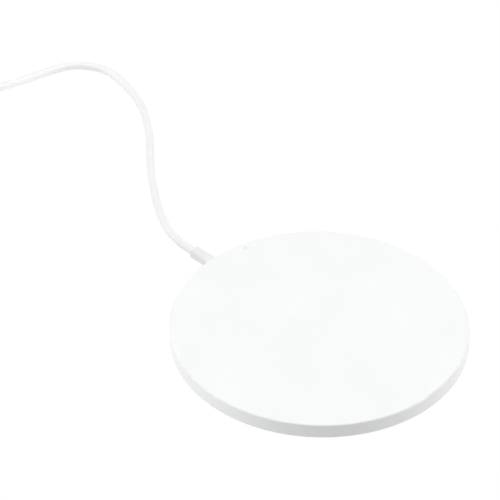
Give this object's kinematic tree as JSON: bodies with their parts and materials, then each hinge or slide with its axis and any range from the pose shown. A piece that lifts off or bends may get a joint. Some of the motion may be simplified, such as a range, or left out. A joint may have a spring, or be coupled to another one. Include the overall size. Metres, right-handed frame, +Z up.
{
  "type": "wireless charging pad",
  "caption": "Slim round wireless charging pad with rubber feet and a captive cord that leaves one side through a short strain relief and ends in a USB type-A plug.",
  "frame": {"origin": "on the surface the feet stand on, below the centre of the round housing", "axes": "+Z up through the charging surface, +Y to the rear, along the strain relief where the cord leaves the housing"},
  "size_m": [0.1238, 0.2419, 0.0078],
  "materials": {
    "housing": "fine spark-eroded texture",
    "feet": "matte",
    "light_pipe": "clear, slightly frosted",
    "screw_steel": "zinc plated",
    "litz_copper": "enamelled strands",
    "pet_tape": "smooth film",
    "ferrite": "matte, sintered",
    "foam": "open-cell foam",
    "sensor": "coated bead",
    "board": "green solder mask",
    "capacitor": "sintered",
    "resistor": "glazed",
    "led": "clear epoxy",
    "chip": "moulded epoxy",
    "tin": "tinned",
    "wire_red": "smooth insulation",
    "wire_white": "smooth insulation",
    "wire_green": "smooth insulation",
    "wire_black": "smooth insulation",
    "strain_relief": "matte elastomer",
    "cord_jacket": "satin elastomer",
    "tie": "plastic-covered wire",
    "plug_mould": "satin",
    "plug_shell": "nickel plated",
    "plug_insulator": "moulded",
    "plug_contact": "gold plated",
    "inner_mould": "unfinished moulding"
  },
  "bodies": {
    "root": {"base_cover": "housing", "board_screws": "screw_steel", "bridge_mosfet_1": "chip", "bridge_mosfet_2": "chip", "chip_capacitors": "capacitor", "chip_resistors": "resistor", "chip_terminals": "tin", "circuit_board": "board", "coil_tape": "pet_tape", "coil_winding": "litz_copper", "controller_ic": "chip", "cord": "cord_jacket", "cord_coil": "cord_jacket", "cord_inner_end": "cord_jacket", "cord_plug_end": "cord_jacket", "cord_tail": "cord_jacket", "cord_tie": "tie", "current_sense_resistor": "resistor", "ferrite_sheet": "ferrite", "ferrite_tape": "pet_tape", "foam_pad": "foam", "housing_screws": "screw_steel", "input_capacitor_1": "capacitor", "input_capacitor_2": "capacitor", "input_capacitor_3": "capacitor", "light_pipe": "light_pipe", "resonant_capacitor_1": "capacitor", "resonant_capacitor_2": "capacitor", "resonant_capacitor_3": "capacitor", "resonant_capacitor_4": "capacitor", "rubber_foot_1": "feet", "rubber_foot_2": "feet", "rubber_foot_3": "feet", "rubber_foot_4": "feet", "solder_joints": "tin", "status_led": "led", "strain_relief": "strain_relief", "thermistor": "sensor", "top_cover": "housing", "usb_plug_contacts": "plug_contact", "usb_plug_inner_mould": "inner_mould", "usb_plug_insulator": "plug_insulator", "usb_plug_overmould": "plug_mould", "usb_plug_shell": "plug_shell", "wire_black": "wire_black", "wire_green": "wire_green", "wire_red": "wire_red", "wire_white": "wire_white"}
  },
  "joints": []
}
